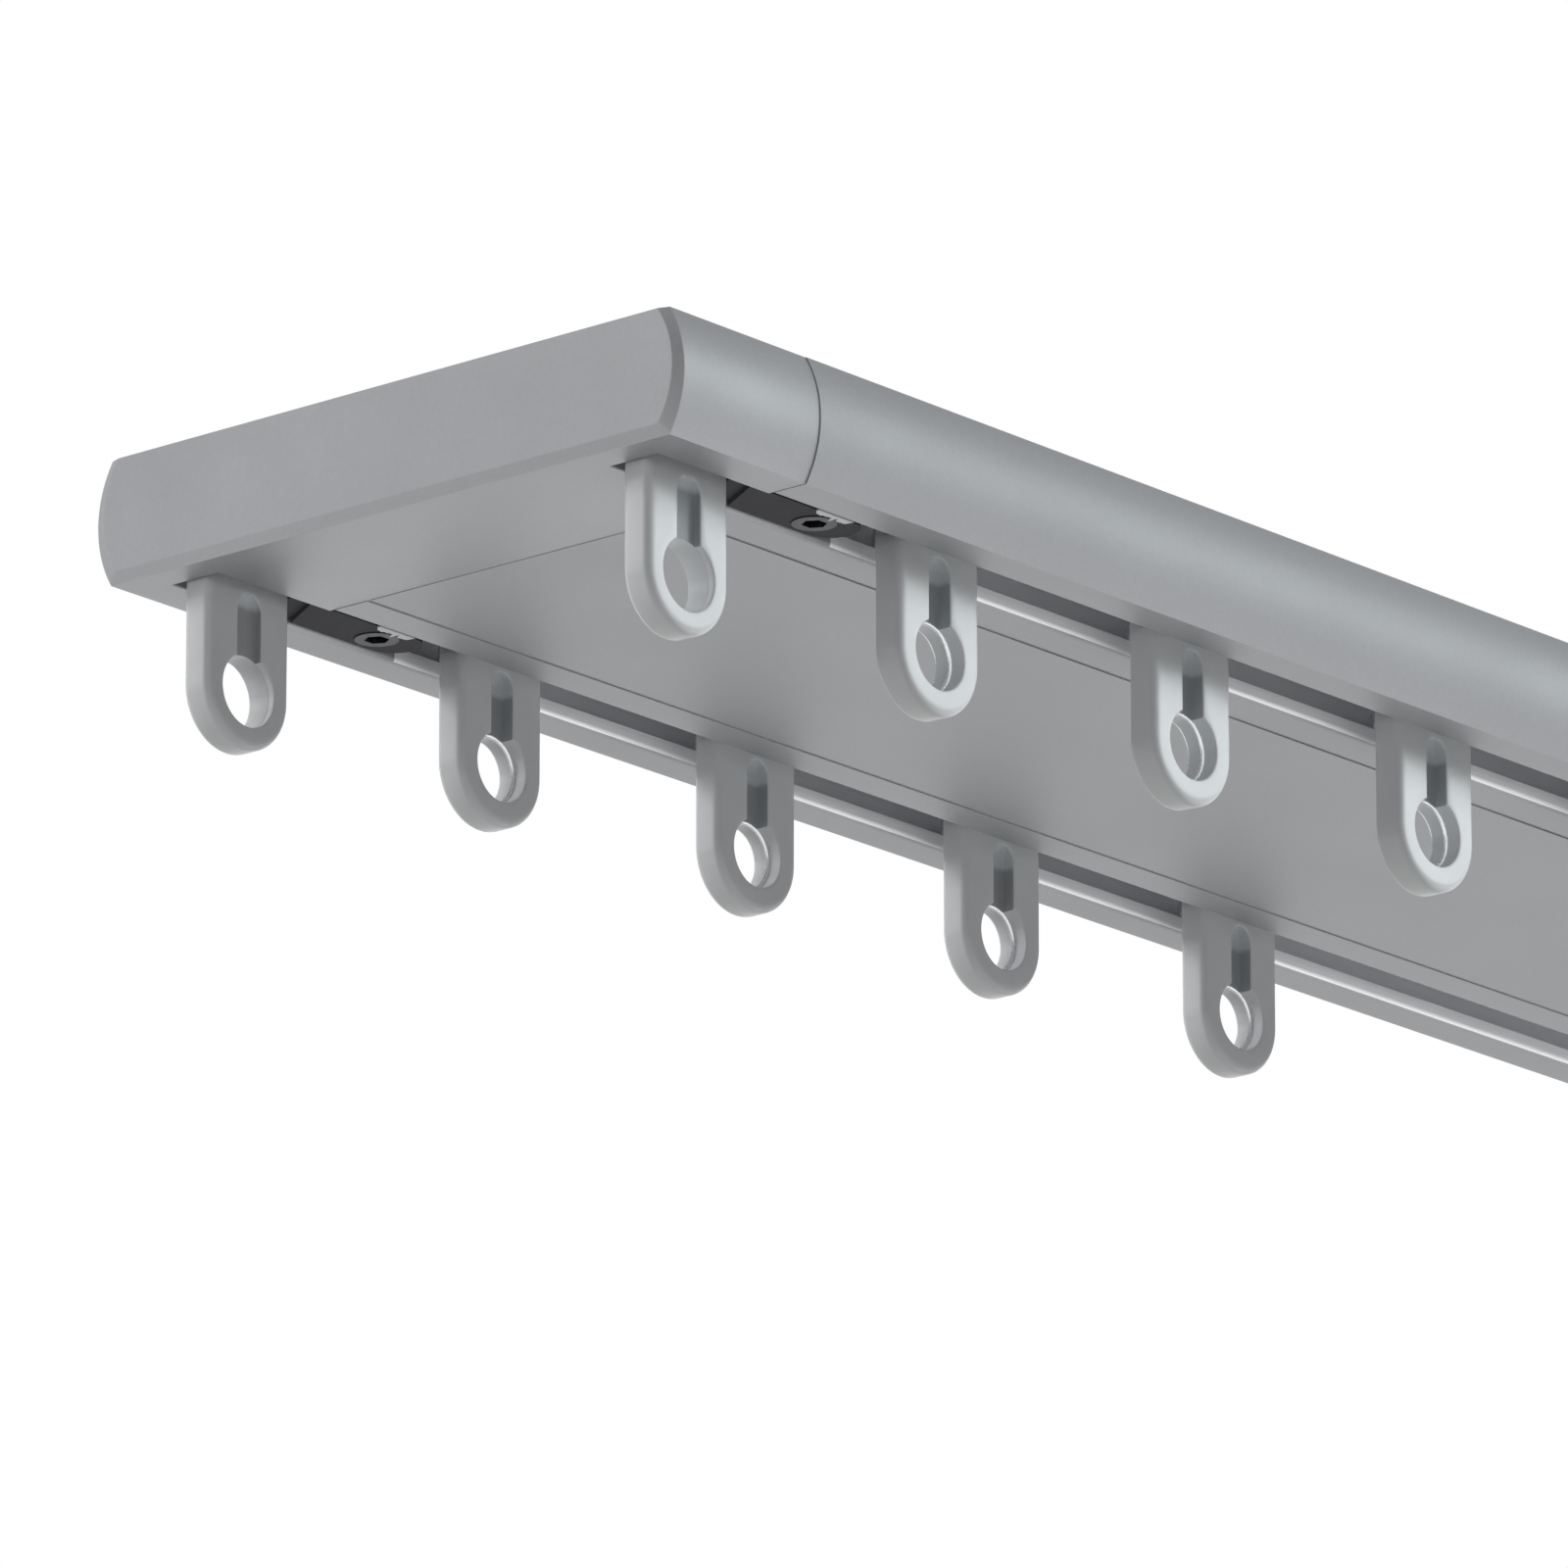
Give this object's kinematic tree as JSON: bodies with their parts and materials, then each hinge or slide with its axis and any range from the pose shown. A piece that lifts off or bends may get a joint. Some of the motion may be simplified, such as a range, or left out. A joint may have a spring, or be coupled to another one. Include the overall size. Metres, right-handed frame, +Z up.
{
  "type": "double ceiling curtain track",
  "caption": "Flat two-channel curtain track for the ceiling, with end caps, fixed end eyes, end stops and running gliders that carry curtain hooks.",
  "frame": {"origin": "middle of the flat face that lies against the ceiling", "axes": "+X along the track, +Y from the front row of gliders to the rear row, +Z up into the ceiling"},
  "size_m": [0.3004, 0.0684, 0.026],
  "materials": {
    "anodised_aluminium": "satin silver anodised",
    "cap_plastic": "satin silver-grey",
    "eye_plastic": "smooth light grey",
    "stop_plastic": "matt dark grey",
    "screw_steel": "bright zinc plated"
  },
  "bodies": {
    "track": {"rail_profile": "anodised_aluminium", "end_cap_left": "cap_plastic", "end_cap_right": "cap_plastic", "end_eye_front_left": "eye_plastic", "end_stop_front_left": "stop_plastic", "stop_screw_front_left": "screw_steel", "end_eye_front_right": "eye_plastic", "end_stop_front_right": "stop_plastic", "stop_screw_front_right": "screw_steel", "end_eye_rear_left": "eye_plastic", "end_stop_rear_left": "stop_plastic", "stop_screw_rear_left": "screw_steel", "end_eye_rear_right": "eye_plastic", "end_stop_rear_right": "stop_plastic", "stop_screw_rear_right": "screw_steel"},
    "glider_front_01": {"glider_front_01": "eye_plastic"},
    "glider_front_02": {"glider_front_02": "eye_plastic"},
    "glider_front_03": {"glider_front_03": "eye_plastic"},
    "glider_front_04": {"glider_front_04": "eye_plastic"},
    "glider_rear_01": {"glider_rear_01": "eye_plastic"},
    "glider_rear_02": {"glider_rear_02": "eye_plastic"},
    "glider_rear_03": {"glider_rear_03": "eye_plastic"},
    "glider_rear_04": {"glider_rear_04": "eye_plastic"}
  },
  "joints": [
    {"name": "slide_front_01", "type": "slide", "parent": "track", "child": "glider_front_01", "axis": [1, 0, 0], "range_m": [-0.0047, 0.0287]},
    {"name": "slide_front_02", "type": "slide", "parent": "glider_front_01", "child": "glider_front_02", "axis": [1, 0, 0], "range_m": [-0.0239, 0.0287]},
    {"name": "slide_front_03", "type": "slide", "parent": "glider_front_02", "child": "glider_front_03", "axis": [1, 0, 0], "range_m": [-0.0239, 0.0287]},
    {"name": "slide_front_04", "type": "slide", "parent": "glider_front_03", "child": "glider_front_04", "axis": [1, 0, 0], "range_m": [-0.0239, 0.0287]},
    {"name": "slide_rear_01", "type": "slide", "parent": "track", "child": "glider_rear_01", "axis": [1, 0, 0], "range_m": [-0.0047, 0.0287]},
    {"name": "slide_rear_02", "type": "slide", "parent": "glider_rear_01", "child": "glider_rear_02", "axis": [1, 0, 0], "range_m": [-0.0239, 0.0287]},
    {"name": "slide_rear_03", "type": "slide", "parent": "glider_rear_02", "child": "glider_rear_03", "axis": [1, 0, 0], "range_m": [-0.0239, 0.0287]},
    {"name": "slide_rear_04", "type": "slide", "parent": "glider_rear_03", "child": "glider_rear_04", "axis": [1, 0, 0], "range_m": [-0.0239, 0.0287]}
  ]
}
